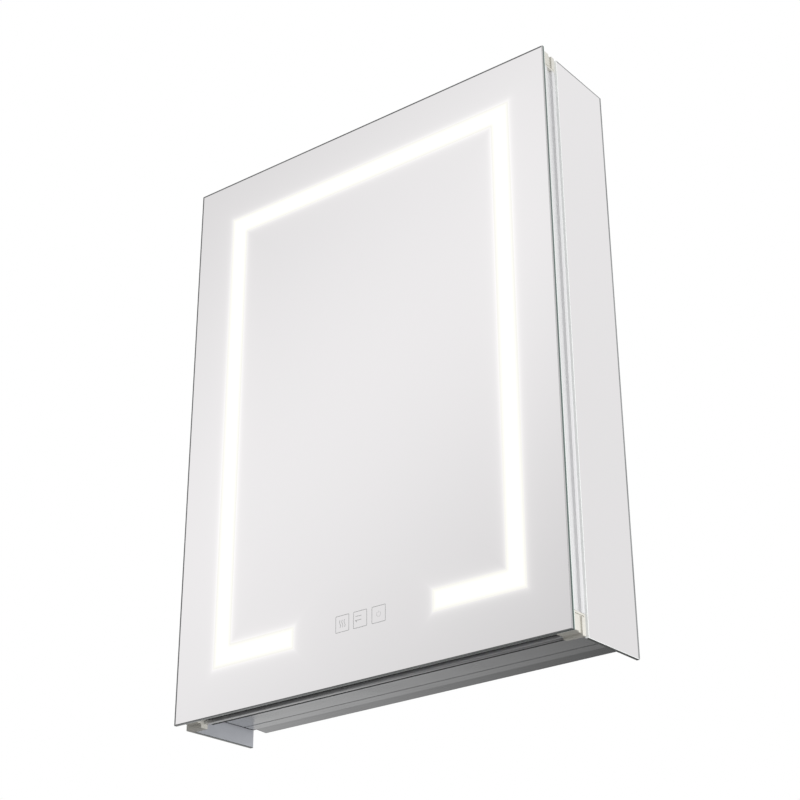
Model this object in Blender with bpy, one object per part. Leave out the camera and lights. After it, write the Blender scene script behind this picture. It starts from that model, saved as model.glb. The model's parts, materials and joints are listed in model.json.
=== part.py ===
"""Wall-hung medicine cabinet with a lit mirror door, modelled piece by piece.

Axes: +X to the right of a person facing the door, +Y into the wall, +Z up.
Origin: middle of the wall rail's back face, on the wall.
Places are first given as (x, depth, height): x from the middle of the cabinet,
depth behind the front face of the door glass, and height above its lower edge.
"""

import math

import bmesh
import bpy
from mathutils import Matrix, Vector

MM = 0.001

# Driving dimensions
GLASS_WIDTH = 508 * MM
GLASS_HEIGHT = 660 * MM
DOOR_DROP = 2.5 * MM
CABINET_DEPTH = 135 * MM
HANGING_HEIGHT = 574 * MM
GAP = 0.3 * MM

# Door
GLASS_THICKNESS = 5 * MM
GLASS_CHAMFER = 0.5 * MM
DOOR_DEPTH = 24.8 * MM
FRAME_WIDTH = 22 * MM
FRAME_INSET = 1 * MM
FRAME_TOP_INSET = 4 * MM
HINGE_SIDE_INSET = 4 * MM
FRONT_FLANGE = 2 * MM
REAR_FLANGE = 4 * MM
CHANNEL_DEPTH = 14 * MM
WEB = 2 * MM
GROOVE_DEPTH = 3 * MM
GROOVE_FRONT = 10 * MM
GROOVE_BACK = 19 * MM
BLOCK_RELIEF_DEPTH = 15 * MM
BLOCK_RELIEF = 6 * MM
BLOCK_FOOT = {"left": 4.5 * MM, "right": 2.5 * MM}
BLOCK_SHORTER = {"left": 0, "right": 3 * MM}

# Light behind the glass
BAND_CENTRE_X = 3 * MM
BAND_HALF_WIDTH = 203 * MM
BAND_LOW = 48 * MM
BAND_HIGH = 606 * MM
BAND_WIDTH = 24 * MM
FOOT_END = 90 * MM
DIFFUSER_MARGIN = 3 * MM
STRIP_MARGIN = -6 * MM
BACKING_FRONT = 19.5 * MM
BACKING_THICKNESS = 1.5 * MM
INNER_MIRROR_THICKNESS = 3 * MM
TOUCH_CENTRE_X = 2 * MM

# Cabinet body
SIDE_MIRROR_THICKNESS = 4.3 * MM
SIDE_MIRROR_FRONT = 28 * MM
SIDE_MIRROR_BACK = 120 * MM
SIDE_MIRROR_DROP = 4.5 * MM
BODY_FRONT = 28.3 * MM
BODY_LOW = 14 * MM
BODY_HIGH = 640 * MM
PROFILE_THICKNESS = 12 * MM
PROFILE_SKIN = 1.6 * MM
SIDE_STEP = 4.2 * MM
SIDE_STEP_DEPTH = 118 * MM
REAR_LIP = 1.2 * MM
REAR_LIP_DEPTH = 115 * MM
BACK_PANEL_FRONT = 118 * MM
BACK_PANEL_THICKNESS = 3 * MM
BACK_MIRROR_THICKNESS = 3 * MM
BACK_MIRROR_TOP = 597 * MM

# Shelves
SHELF_HEIGHTS = {"lower": 230 * MM, "upper": 430 * MM}
SHELF_THICKNESS = 5 * MM
SHELF_FRONT = 34 * MM
SHELF_BACK = 112 * MM
PIN_HOLE_DEPTHS = {"front": 52 * MM, "rear": 94 * MM}
PIN_HOLE_PITCH = 50 * MM
PIN_HOLE_COUNT = 7
PIN_RADIUS = 2.5 * MM
PIN_HEAD_RADIUS = 4 * MM
PIN_HEAD_LENGTH = 9 * MM

# Hinges
HINGE_HEIGHTS = {"lower": 110 * MM, "upper": 550 * MM}
PIVOT_X = -244.5 * MM
PIVOT_DEPTH = 13.5 * MM
PIVOT_RADIUS = 2 * MM
PIVOT_CLEARANCE = 0.15 * MM
EYE_RADIUS = 3.9 * MM
ARM_HALF_HEIGHT = 9.7 * MM
CUP_HALF_HEIGHT = 24 * MM
POCKET_HALF_HEIGHT = 13 * MM
NECK_WIDTH = 4 * MM

SEGMENTS = 20

GLASS_FRONT_Y = -CABINET_DEPTH
GLASS_LOW_Z = -HANGING_HEIGHT
HALF_WIDTH = GLASS_WIDTH / 2
BODY_HALF_WIDTH = HALF_WIDTH - SIDE_MIRROR_THICKNESS - GAP
REAR_HALF_WIDTH = BODY_HALF_WIDTH - SIDE_STEP
INNER_HALF_WIDTH = BODY_HALF_WIDTH - PROFILE_THICKNESS
FRAME_FRONT = GLASS_THICKNESS + GAP
FRAME_LEFT = -HALF_WIDTH + HINGE_SIDE_INSET
FRAME_RIGHT = HALF_WIDTH - FRAME_INSET
FRAME_LOW = FRAME_INSET - DOOR_DROP
FRAME_HIGH = GLASS_HEIGHT - FRAME_TOP_INSET

DOOR_PIECES = ("door_", "light_", "led_strip", "defogger_", "touch_", "bumper_", "hinge_cup_",
               "hinge_pin_")

FINISHES = {
    "mirror_glass": ((0.86, 0.88, 0.88), 0.03, 1.0),
    "clear_glass": ((0.75, 0.88, 0.84), 0.05, 0.0),
    "anodised_aluminium": ((0.72, 0.73, 0.74), 0.3, 1.0),
    "white_sheet": ((0.85, 0.86, 0.86), 0.45, 0.0),
    "beige_plastic": ((0.72, 0.70, 0.64), 0.5, 0.0),
    "opal_acrylic": ((0.95, 0.93, 0.88), 0.4, 0.0),
    "circuit_board": ((0.9, 0.9, 0.86), 0.5, 0.0),
    "heating_film": ((0.35, 0.36, 0.37), 0.5, 0.0),
    "nickel_steel": ((0.62, 0.61, 0.6), 0.25, 1.0),
    "zinc_steel": ((0.6, 0.62, 0.63), 0.35, 1.0),
    "black_rubber": ((0.05, 0.05, 0.05), 0.7, 0.0),
    "clear_rubber": ((0.8, 0.8, 0.78), 0.6, 0.0),
}


def place(x, depth, height):
    """World position of a point given by its x, depth and height."""
    return Vector((x, GLASS_FRONT_Y + depth, GLASS_LOW_Z + height))


def clear_scene():
    for obj in list(bpy.data.objects):
        bpy.data.objects.remove(obj, do_unlink=True)


def finish(name):
    """The named Principled material, made on first use."""
    material = bpy.data.materials.get(name)
    if material is None:
        color, roughness, metallic = FINISHES[name]
        material = bpy.data.materials.new(name)
        material.use_nodes = True
        shader = material.node_tree.nodes["Principled BSDF"]
        shader.inputs["Base Color"].default_value = (*color, 1.0)
        shader.inputs["Roughness"].default_value = roughness
        shader.inputs["Metallic"].default_value = metallic
    return material


def add_object(name, work, finish_name=None):
    """Link the bmesh as an object; a cutter has no finish."""
    bmesh.ops.recalc_face_normals(work, faces=work.faces)
    mesh = bpy.data.meshes.new(name)
    work.to_mesh(mesh)
    work.free()
    obj = bpy.data.objects.new(name, mesh)
    bpy.context.collection.objects.link(obj)
    if finish_name:
        mesh.materials.append(finish(finish_name))
    return obj


def prism_mesh(outline, axis, start, end):
    """A flat outline carried from start to end along one axis of (x, depth, height).

    The outline's two numbers are the other two axes, in that order.
    """
    def spot(a, b, along):
        values = [a, b]
        values.insert(axis, along)
        return place(*values)

    work = bmesh.new()
    low = [work.verts.new(spot(a, b, start)) for a, b in outline]
    face = work.faces.new(low)
    grown = bmesh.ops.extrude_face_region(work, geom=[face])
    moved = [item for item in grown["geom"] if isinstance(item, bmesh.types.BMVert)]
    bmesh.ops.translate(work, vec=spot(0, 0, end) - spot(0, 0, start), verts=moved)
    return work


def prism(name, outline, axis, start, end, finish_name=None):
    return add_object(name, prism_mesh(outline, axis, start, end), finish_name)


def rectangle(a0, a1, b0, b1):
    return [(a0, b0), (a1, b0), (a1, b1), (a0, b1)]


def block(name, x, depth, height, finish_name=None):
    """A plain block between (low, high) limits on each axis."""
    return prism(name, rectangle(*x, *depth), 2, *height, finish_name)


def turned(name, centre, direction, stations, finish_name=None, hole=0.0):
    """A solid of revolution about a line through centre along direction.

    stations are (distance along the line, radius); hole is a through bore's radius.
    """
    start, end = stations[0][0], stations[-1][0]
    work = bmesh.new()
    section = [(start, hole), *stations, (end, hole)]
    ring = [work.verts.new((radius, 0, along)) for along, radius in section]
    edges = [work.edges.new(pair) for pair in zip(ring[:-1], ring[1:])]
    if hole:
        edges.append(work.edges.new((ring[-1], ring[0])))
    bmesh.ops.spin(work, geom=ring + edges, cent=(0, 0, 0), axis=(0, 0, 1), dvec=(0, 0, 0),
                   angle=math.tau, steps=SEGMENTS)
    bmesh.ops.remove_doubles(work, verts=work.verts, dist=1e-6)
    turn = Vector((0, 0, 1)).rotation_difference(Vector(direction)).to_matrix().to_4x4()
    bmesh.ops.transform(work, matrix=Matrix.Translation(centre) @ turn, verts=work.verts)
    obj = add_object(name, work, finish_name)
    obj.data.shade_smooth()
    obj.data.set_sharp_from_angle(angle=math.radians(35))
    return obj


def rod(name, centre, direction, radius, start, end, finish_name=None):
    return turned(name, centre, direction, [(start, radius), (end, radius)], finish_name)


def combine(target, tool, operation):
    """Apply a Boolean of the tool to the target and drop the tool."""
    modifier = target.modifiers.new(tool.name, "BOOLEAN")
    modifier.object = tool
    modifier.operation = operation
    modifier.solver = "EXACT"
    graph = bpy.context.evaluated_depsgraph_get()
    result = bpy.data.meshes.new_from_object(target.evaluated_get(graph))
    target.modifiers.clear()
    target.data = result
    bpy.data.objects.remove(tool, do_unlink=True)


def cut(target, *tools):
    for tool in tools:
        combine(target, tool, "DIFFERENCE")


def join(target, *tools):
    for tool in tools:
        combine(target, tool, "UNION")


def soften(obj, width, segments=1):
    """Bevel the sharp edges of a finished piece."""
    modifier = obj.modifiers.new("edge", "BEVEL")
    modifier.width = width
    modifier.segments = segments
    modifier.limit_method = "ANGLE"
    modifier.angle_limit = math.radians(60)
    return obj


def box_section(low, high, front, back, outer_is_low):
    """Outline of a channel wall, open at the wall side.

    Its outer skin has a groove, and behind that a lip that slopes out to the rear edge.
    """
    groove = 0.9 * MM
    groove_front = 99 * MM
    groove_back = 101 * MM
    lip = REAR_LIP_DEPTH
    points = [
        (front, 0), (groove_front, 0), (groove_front, groove), (groove_back, groove),
        (groove_back, 0), (lip, 0), (lip, REAR_LIP), (back, 0), (back, PROFILE_SKIN),
        (lip + PROFILE_SKIN, REAR_LIP + PROFILE_SKIN), (lip - PROFILE_SKIN, PROFILE_SKIN),
        (front + WEB, PROFILE_SKIN), (front + WEB, high - low - PROFILE_SKIN),
        (back, high - low - PROFILE_SKIN), (back, high - low), (front, high - low),
    ]
    if outer_is_low:
        return [(depth, low + step) for depth, step in points]
    return [(depth, high - step) for depth, step in points]


def side_section(sign):
    """Outline of a side wall, a channel whose outer skin steps in behind the side mirror."""
    inner = INNER_HALF_WIDTH
    outer = BODY_HALF_WIDTH
    rear = REAR_HALF_WIDTH
    front = BODY_FRONT
    back = CABINET_DEPTH
    step = SIDE_STEP_DEPTH
    skin = PROFILE_SKIN
    points = [
        (inner, front), (outer, front), (outer, step), (rear, step), (rear, back),
        (rear - skin, back), (rear - skin, step - skin), (outer - skin, step - skin),
        (outer - skin, front + WEB), (inner + skin, front + WEB), (inner + skin, back),
        (inner, back),
    ]
    return [(sign * x, depth) for x, depth in points]


def make_body():
    """The four extruded walls, the back sheet and the mirror lining."""
    limits = (-REAR_HALF_WIDTH, REAR_HALF_WIDTH)
    lower = box_section(BODY_LOW, BODY_LOW + PROFILE_THICKNESS, BODY_FRONT, CABINET_DEPTH, True)
    upper = box_section(BODY_HIGH - PROFILE_THICKNESS, BODY_HIGH, BODY_FRONT, CABINET_DEPTH, False)
    prism("body_bottom", lower, 0, *limits, "anodised_aluminium")
    prism("body_top", upper, 0, *limits, "anodised_aluminium")
    inner_low = BODY_LOW + PROFILE_THICKNESS + GAP
    inner_high = BODY_HIGH - PROFILE_THICKNESS - GAP
    for side, sign in (("left", -1), ("right", 1)):
        wall = prism(f"body_side_{side}", side_section(sign), 2, inner_low, inner_high,
                     "anodised_aluminium")
        drill_pin_holes(wall, sign)
    sheet_x = (-INNER_HALF_WIDTH + GAP, INNER_HALF_WIDTH - GAP)
    sheet_z = (inner_low, inner_high)
    sheet_depth = (BACK_PANEL_FRONT, BACK_PANEL_FRONT + BACK_PANEL_THICKNESS)
    block("back_panel", sheet_x, sheet_depth, sheet_z, "white_sheet")
    mirror_depth = (BACK_PANEL_FRONT - GAP - BACK_MIRROR_THICKNESS, BACK_PANEL_FRONT - GAP)
    block("back_mirror", sheet_x, mirror_depth, (inner_low, BACK_MIRROR_TOP), "mirror_glass")


def drill_pin_holes(wall, sign):
    """Two columns of shelf-pin holes through the inner skin of a side wall."""
    first = (GLASS_HEIGHT - (PIN_HOLE_COUNT - 1) * PIN_HOLE_PITCH) / 2
    reach = 2 * PROFILE_SKIN
    for depth in PIN_HOLE_DEPTHS.values():
        for step in range(PIN_HOLE_COUNT):
            height = pin_height(first + step * PIN_HOLE_PITCH)
            centre = place(sign * INNER_HALF_WIDTH, depth, height)
            cut(wall, rod("pin_drill", centre, (sign, 0, 0), PIN_RADIUS + GAP, -reach, reach))


def pin_height(shelf_height):
    """Height of a pin's axis below a shelf whose underside is at shelf_height."""
    return shelf_height - PIN_HEAD_RADIUS - GAP


def make_side_mirrors():
    """The mirrored glass on the two outer sides."""
    heights = (-SIDE_MIRROR_DROP, GLASS_HEIGHT - SIDE_MIRROR_DROP)
    depths = (SIDE_MIRROR_FRONT, SIDE_MIRROR_BACK)
    for side, sign in (("left", -1), ("right", 1)):
        limits = sorted((sign * HALF_WIDTH, sign * (HALF_WIDTH - SIDE_MIRROR_THICKNESS)))
        glass = block(f"side_mirror_{side}", limits, depths, heights, "mirror_glass")
        soften(glass, GLASS_CHAMFER)


def make_hanging_rails():
    """The hook rail on the cabinet's back and the rail screwed to the wall under it."""
    plate = 2 * MM
    front = BACK_PANEL_FRONT + BACK_PANEL_THICKNESS + GAP
    hook_top = HANGING_HEIGHT + 31 * MM
    hook_back = CABINET_DEPTH - 3.5 * MM
    hook_tip = HANGING_HEIGHT + 18 * MM
    hook = [
        (front, HANGING_HEIGHT), (front + plate, HANGING_HEIGHT),
        (front + plate, hook_top - plate), (hook_back - plate, hook_top - plate),
        (hook_back - plate, hook_tip), (hook_back, hook_tip), (hook_back, hook_top),
        (front, hook_top),
    ]
    rail = prism("hanging_rail", hook, 0, -220 * MM, 220 * MM, "zinc_steel")
    lip_back = hook_back - plate - 1.5 * MM
    seat = HANGING_HEIGHT + 13 * MM
    wall = [
        (CABINET_DEPTH, HANGING_HEIGHT - 14 * MM), (CABINET_DEPTH, seat), (lip_back, seat),
        (lip_back, hook_top - plate - GAP), (lip_back - plate, hook_top - plate - GAP),
        (lip_back - plate, seat - plate), (CABINET_DEPTH - plate, seat - plate),
        (CABINET_DEPTH - plate, HANGING_HEIGHT - 14 * MM),
    ]
    wall_rail = prism("wall_rail", wall, 0, -200 * MM, 200 * MM, "zinc_steel")
    for x in (-150 * MM, 150 * MM):
        centre = place(x, CABINET_DEPTH, HANGING_HEIGHT)
        cut(wall_rail, rod("wall_drill", centre, (0, 1, 0), 2.75 * MM, -5 * MM, 5 * MM))
    panel = bpy.data.objects["back_panel"]
    for side, x in (("left", -190 * MM), ("right", 190 * MM)):
        centre = place(x, front, HANGING_HEIGHT + 15 * MM)
        shank = 2.2 * MM
        cut(rail, rod("rail_drill", centre, (0, 1, 0), shank + GAP, -8 * MM, 8 * MM))
        cut(panel, rod("panel_drill", centre, (0, 1, 0), shank + GAP, -8 * MM, 8 * MM))
        stations = [(-2.8 * MM, shank), (plate + GAP, shank), (plate + GAP, 4 * MM),
                    (plate + 1.6 * MM, 3.6 * MM), (plate + 2.4 * MM, 2 * MM)]
        turned(f"rail_screw_{side}", centre, (0, 1, 0), stations, "zinc_steel")


def make_corner_brackets():
    """Angle brackets that tie the four walls together behind the back sheet."""
    leg = 34 * MM
    thick = 2 * MM
    x = INNER_HALF_WIDTH - GAP
    low = BODY_LOW + PROFILE_THICKNESS + GAP
    high = BODY_HIGH - PROFILE_THICKNESS - GAP
    for end, edge, rise in (("bottom", low, 1), ("top", high, -1)):
        for side, sign in (("left", -1), ("right", 1)):
            outline = [(0, 0), (leg, 0), (leg, thick), (thick, thick), (thick, leg), (0, leg)]
            points = [(sign * (x - a), edge + rise * b) for a, b in outline]
            prism(f"corner_bracket_{end}_{side}", points, 1, 124 * MM, 133 * MM, "zinc_steel")


def make_shelves():
    """Glass shelves, each on four push-in pins."""
    half = INNER_HALF_WIDTH - 1.2 * MM
    for level, height in SHELF_HEIGHTS.items():
        shelf = block(f"shelf_{level}", (-half, half), (SHELF_FRONT, SHELF_BACK),
                      (height, height + SHELF_THICKNESS), "clear_glass")
        soften(shelf, GLASS_CHAMFER)
        for row, depth in PIN_HOLE_DEPTHS.items():
            for side, sign in (("left", -1), ("right", 1)):
                centre = place(sign * INNER_HALF_WIDTH, depth, pin_height(height))
                stations = [(-2.6 * MM, PIN_RADIUS), (GAP, PIN_RADIUS), (GAP, PIN_HEAD_RADIUS),
                            (PIN_HEAD_LENGTH, PIN_HEAD_RADIUS)]
                turned(f"shelf_pin_{level}_{row}_{side}", centre, (-sign, 0, 0), stations,
                       "nickel_steel")


def make_driver():
    """The light's power supply under its cover, and the mains lead's gland."""
    skin = 1.2 * MM
    half = 130 * MM
    front = 84 * MM
    back = BACK_PANEL_FRONT - 2 * GAP
    low = BACK_MIRROR_TOP + 3 * MM
    high = BODY_HIGH - PROFILE_THICKNESS - GAP
    beyond = 20 * MM
    cover = block("driver_cover", (-half, half), (front, back), (low, high), "white_sheet")
    cut(cover, block("cover_inside", (skin - half, half - skin), (front + skin, back + beyond),
                     (low + skin, high + beyond)))
    block("led_driver", (-105 * MM, 75 * MM), (front + 5 * MM, back - 4 * MM),
          (low + skin + GAP, low + skin + 20 * MM), "white_sheet")
    bore = 3.5 * MM
    sleeve = 6.2 * MM
    flange = 8 * MM
    centre = place(105 * MM, BACK_PANEL_FRONT, (low + high) / 2)
    panel = bpy.data.objects["back_panel"]
    cut(panel, rod("gland_drill", centre, (0, 1, 0), sleeve + GAP, -5 * MM, 8 * MM))
    inside = -GAP
    outside = BACK_PANEL_THICKNESS + GAP
    stations = [(inside - 1.6 * MM, flange), (inside, flange), (inside, sleeve),
                (outside, sleeve), (outside, flange), (outside + 1.6 * MM, flange)]
    turned("cable_gland", centre, (0, 1, 0), stations, "black_rubber", hole=bore)


def frame_section(outer, inward):
    """Outline of the door's other profiles: a channel open to the outside, with two flanges."""
    web_outer = outer + inward * CHANNEL_DEPTH
    web_inner = outer + inward * (CHANNEL_DEPTH + WEB)
    inner = outer + inward * FRAME_WIDTH
    front = FRAME_FRONT + FRONT_FLANGE
    rear = DOOR_DEPTH - REAR_FLANGE
    return [
        (outer, FRAME_FRONT), (inner, FRAME_FRONT), (inner, front), (web_inner, front),
        (web_inner, rear), (inner, rear), (inner, DOOR_DEPTH), (outer, DOOR_DEPTH),
        (outer, rear), (web_outer, rear), (web_outer, front), (outer, front),
    ]


def grooved_section(outer, inward):
    """Outline of the opening side's profile: a channel open to the inside, grooved outside."""
    groove = outer + inward * GROOVE_DEPTH
    web_inner = groove + inward * WEB
    inner = outer + inward * FRAME_WIDTH
    front = FRAME_FRONT + FRONT_FLANGE
    rear = DOOR_DEPTH - FRONT_FLANGE
    return [
        (outer, FRAME_FRONT), (inner, FRAME_FRONT), (inner, front), (web_inner, front),
        (web_inner, rear), (inner, rear), (inner, DOOR_DEPTH), (outer, DOOR_DEPTH),
        (outer, GROOVE_BACK), (groove, GROOVE_BACK), (groove, GROOVE_FRONT),
        (outer, GROOVE_FRONT),
    ]


def make_door_frame():
    """The four edge profiles and the plastic blocks that join them at the corners."""
    low = FRAME_LOW + FRAME_WIDTH + GAP
    high = FRAME_HIGH - FRAME_WIDTH - GAP
    left = FRAME_LEFT + FRAME_WIDTH + GAP
    right = FRAME_RIGHT - FRAME_WIDTH - GAP
    for side, section in (("left", frame_section(FRAME_LEFT, 1)),
                          ("right", grooved_section(FRAME_RIGHT, -1))):
        shorter = BLOCK_SHORTER[side]
        prism(f"door_frame_{side}", section, 2, low - shorter, high + shorter,
              "anodised_aluminium")
    for side, outer, inward in (("bottom", FRAME_LOW, 1), ("top", FRAME_HIGH, -1)):
        outline = [(depth, height) for height, depth in frame_section(outer, inward)]
        prism(f"door_frame_{side}", outline, 0, left, right, "anodised_aluminium")
    for end, x0, x1 in (("left", FRAME_LEFT, left - GAP), ("right", right + GAP, FRAME_RIGHT)):
        shorter = BLOCK_SHORTER[end]
        make_corner_block(f"door_corner_bottom_{end}", x0, x1, FRAME_LOW, low - GAP - shorter,
                          end, True)
        make_corner_block(f"door_corner_top_{end}", x0, x1, high + GAP + shorter, FRAME_HIGH,
                          end, False)


def make_corner_block(name, x0, x1, z0, z1, side, at_bottom):
    """A square block with a ribbed outer face; the hinge side's is cut back at the front."""
    piece = block(name, (x0, x1), (FRAME_FRONT, DOOR_DEPTH), (z0, z1), "beige_plastic")
    beyond = 5 * MM
    rib_front = 14 * MM
    rib_back = 19 * MM
    groove = 2 * MM
    rim = 3 * MM
    if side == "right":
        heights = (z0 - beyond, z1 - rim) if at_bottom else (z0 + rim, z1 + beyond)
        slit = (z1 - rim, z1 - rim + 0.9 * MM) if at_bottom else (z0 + rim - 0.9 * MM, z0 + rim)
        cut(piece, block("groove", (x1 - groove, x1 + beyond), (rib_front, rib_back), heights))
        cut(piece, block("slit", (x1 - 1.4 * MM, x1 + beyond),
                         (FRAME_FRONT + 2 * MM, DOOR_DEPTH - 2 * MM), slit))
    else:
        cut(piece, block("relief", (x0 - beyond, x0 + BLOCK_RELIEF),
                         (0, BLOCK_RELIEF_DEPTH), (z0 - beyond, z1 + beyond)))
    if at_bottom:
        foot_front = BLOCK_RELIEF_DEPTH if side == "left" else rib_back
        join(piece, block("foot", (x0, x1), (foot_front, DOOR_DEPTH),
                          (z0 - BLOCK_FOOT[side], z0 + 2 * MM)))


def band_outline(margin):
    """The lit band as seen from the front: an upside-down U with two feet turned inward."""
    out = BAND_HALF_WIDTH + margin
    inn = BAND_HALF_WIDTH - BAND_WIDTH - margin
    end = FOOT_END - margin
    low = BAND_LOW - margin
    foot = BAND_LOW + BAND_WIDTH + margin
    top = BAND_HIGH + margin
    under = BAND_HIGH - BAND_WIDTH - margin
    outer = [(end, low), (out, low), (out, top)]
    inner = [(inn, under), (inn, foot), (end, foot)]
    outer_left = [(-x, z) for x, z in reversed(outer)]
    inner_left = [(-x, z) for x, z in reversed(inner)]
    outline = outer + outer_left + inner_left + inner
    return [(BAND_CENTRE_X + x, z) for x, z in outline]


def make_door_inside():
    """The lit window's diffuser, the light strip, the heating film, sensor board and backing."""
    front = FRAME_FRONT
    prism("light_diffuser", band_outline(DIFFUSER_MARGIN), 1, front, front + 3 * MM, "opal_acrylic")
    strip_back = BACKING_FRONT - GAP
    prism("led_strip", band_outline(STRIP_MARGIN), 1, strip_back - 1.6 * MM, strip_back,
          "circuit_board")
    block("defogger_pad", (-150 * MM, 150 * MM), (front, front + 0.5 * MM),
          (170 * MM, 490 * MM), "heating_film")
    block("touch_board", (TOUCH_CENTRE_X - 45 * MM, TOUCH_CENTRE_X + 45 * MM),
          (front, front + 4 * MM), (46 * MM, 82 * MM), "circuit_board")
    inner_x = (FRAME_LEFT + FRAME_WIDTH + GAP, FRAME_RIGHT - FRAME_WIDTH - GAP)
    inner_z = (FRAME_LOW + FRAME_WIDTH + GAP, FRAME_HIGH - FRAME_WIDTH - GAP)
    backing_back = BACKING_FRONT + BACKING_THICKNESS
    block("door_backing", inner_x, (BACKING_FRONT, backing_back), inner_z, "white_sheet")
    mirror_front = backing_back + GAP
    block("door_inner_mirror", inner_x, (mirror_front, mirror_front + INNER_MIRROR_THICKNESS),
          inner_z, "mirror_glass")


def make_door():
    glass = block("door_glass", (-HALF_WIDTH, HALF_WIDTH), (0, GLASS_THICKNESS),
                  (-DOOR_DROP, GLASS_HEIGHT), "mirror_glass")
    soften(glass, GLASS_CHAMFER)
    make_door_frame()
    make_door_inside()
    for end, height in (("lower", 40 * MM), ("upper", 620 * MM)):
        centre = place(FRAME_RIGHT - 9 * MM, DOOR_DEPTH, height)
        turned(f"bumper_{end}", centre, (0, 1, 0),
               [(GAP, 5 * MM), (2.2 * MM, 5 * MM), (3.1 * MM, 3.6 * MM)], "clear_rubber")


def arm_outline():
    """Plan of a hinge arm: an eye round the pivot, a cranked neck and a wide foot."""
    half = NECK_WIDTH / 2
    neck_x = -INNER_HALF_WIDTH + 5.4 * MM
    foot_front = 40 * MM
    foot_back = 78 * MM
    foot_x = neck_x - half + 10 * MM
    bend_depth = 24 * MM
    run = Vector((neck_x - PIVOT_X, bend_depth - PIVOT_DEPTH)).normalized()
    side = Vector((-run.y, run.x))
    pivot = Vector((PIVOT_X, PIVOT_DEPTH))
    spread = math.asin(half / EYE_RADIUS)
    heading = math.atan2(run.y, run.x)
    steps = 14
    start = heading + spread
    sweep = math.tau - 2 * spread
    eye = []
    for step in range(steps + 1):
        angle = start + sweep * step / steps
        eye.append(tuple(pivot + EYE_RADIUS * Vector((math.cos(angle), math.sin(angle)))))

    def bend(offset, x):
        """Depth where the neck's edge, offset sideways from its middle, meets the line at x."""
        edge = pivot + side * offset
        return edge.y + run.y * (x - edge.x) / run.x

    right_x = neck_x + half
    left_x = neck_x - half
    return eye + [
        (right_x, bend(-half, right_x)), (right_x, foot_front), (foot_x, foot_front),
        (foot_x, foot_back), (left_x, foot_back), (left_x, bend(half, left_x)),
    ]


def make_hinge(level, height):
    """One concealed hinge: cup in the door's edge channel, pin, cranked arm, wall plate."""
    axis = (0, 0, 1)
    pivot = place(PIVOT_X, PIVOT_DEPTH, height)
    hole = PIVOT_RADIUS + PIVOT_CLEARANCE
    far = 40 * MM
    frame = bpy.data.objects["door_frame_left"]
    cut(frame, block("pocket", (FRAME_LEFT - far, FRAME_LEFT + FRAME_WIDTH + 1 * MM),
                     (10.5 * MM, DOOR_DEPTH + far),
                     (height - POCKET_HALF_HEIGHT, height + POCKET_HALF_HEIGHT)))
    channel_front = FRAME_FRONT + FRONT_FLANGE + GAP
    channel_back = DOOR_DEPTH - REAR_FLANGE - GAP
    cup_x = (FRAME_LEFT + 0.5 * MM, FRAME_LEFT + CHANNEL_DEPTH - GAP)
    cup = block(f"hinge_cup_{level}", cup_x, (channel_front, channel_back),
                (height - CUP_HALF_HEIGHT, height + CUP_HALF_HEIGHT), "nickel_steel")
    slot = ARM_HALF_HEIGHT + GAP
    cut(cup, block("arm_slot", (cup_x[0] - far, cup_x[1] + far),
                   (channel_front + 1.8 * MM, channel_back + far),
                   (height - slot, height + slot)))
    cut(cup, rod("cup_drill", pivot, axis, hole, -far, far))
    rod(f"hinge_pin_{level}", pivot, axis, PIVOT_RADIUS, -CUP_HALF_HEIGHT, CUP_HALF_HEIGHT,
        "nickel_steel")
    arm = prism(f"hinge_arm_{level}", arm_outline(), 2, height - ARM_HALF_HEIGHT,
                height + ARM_HALF_HEIGHT, "nickel_steel")
    cut(arm, rod("arm_drill", pivot, axis, hole, -far, far))
    plate_x = (-INNER_HALF_WIDTH + GAP, -INNER_HALF_WIDTH + 3.1 * MM)
    plate = block(f"hinge_plate_{level}", plate_x, (46 * MM, 74 * MM),
                  (height - 26 * MM, height + 26 * MM), "nickel_steel")
    wall = bpy.data.objects["body_side_left"]
    for end, sign in (("low", -1), ("high", 1)):
        centre = place(plate_x[1], 60 * MM, height + sign * 18 * MM)
        shank = 2 * MM
        cut(plate, rod("plate_drill", centre, (1, 0, 0), shank + GAP, -far, far))
        cut(wall, rod("wall_drill", centre, (1, 0, 0), shank + GAP, -8 * MM, 8 * MM))
        stations = [(-5.5 * MM, shank), (GAP, shank), (GAP, 3.6 * MM), (1.6 * MM, 3 * MM)]
        turned(f"hinge_screw_{level}_{end}", centre, (1, 0, 0), stations, "zinc_steel")


def hang_door():
    """Parent everything that swings to an empty on the hinge axis."""
    pivot = bpy.data.objects.new("door_pivot", None)
    pivot.location = place(PIVOT_X, PIVOT_DEPTH, GLASS_HEIGHT / 2)
    bpy.context.collection.objects.link(pivot)
    for obj in bpy.data.objects:
        if obj.name.startswith(DOOR_PIECES) and obj is not pivot:
            obj.parent = pivot
            obj.location -= pivot.location


def main():
    clear_scene()
    make_body()
    make_side_mirrors()
    make_hanging_rails()
    make_corner_brackets()
    make_shelves()
    make_driver()
    make_door()
    for level, height in HINGE_HEIGHTS.items():
        make_hinge(level, height)
    hang_door()


main()
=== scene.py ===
"""Looks of a wall-hung mirror cabinet with a lit door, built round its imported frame.

Metres throughout: +X to the right of a person facing the door, +Y into the wall, +Z up.
Every new piece is a surface worked out with numpy and laid where the frame's boxes say.
"""
import json
import math

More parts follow.
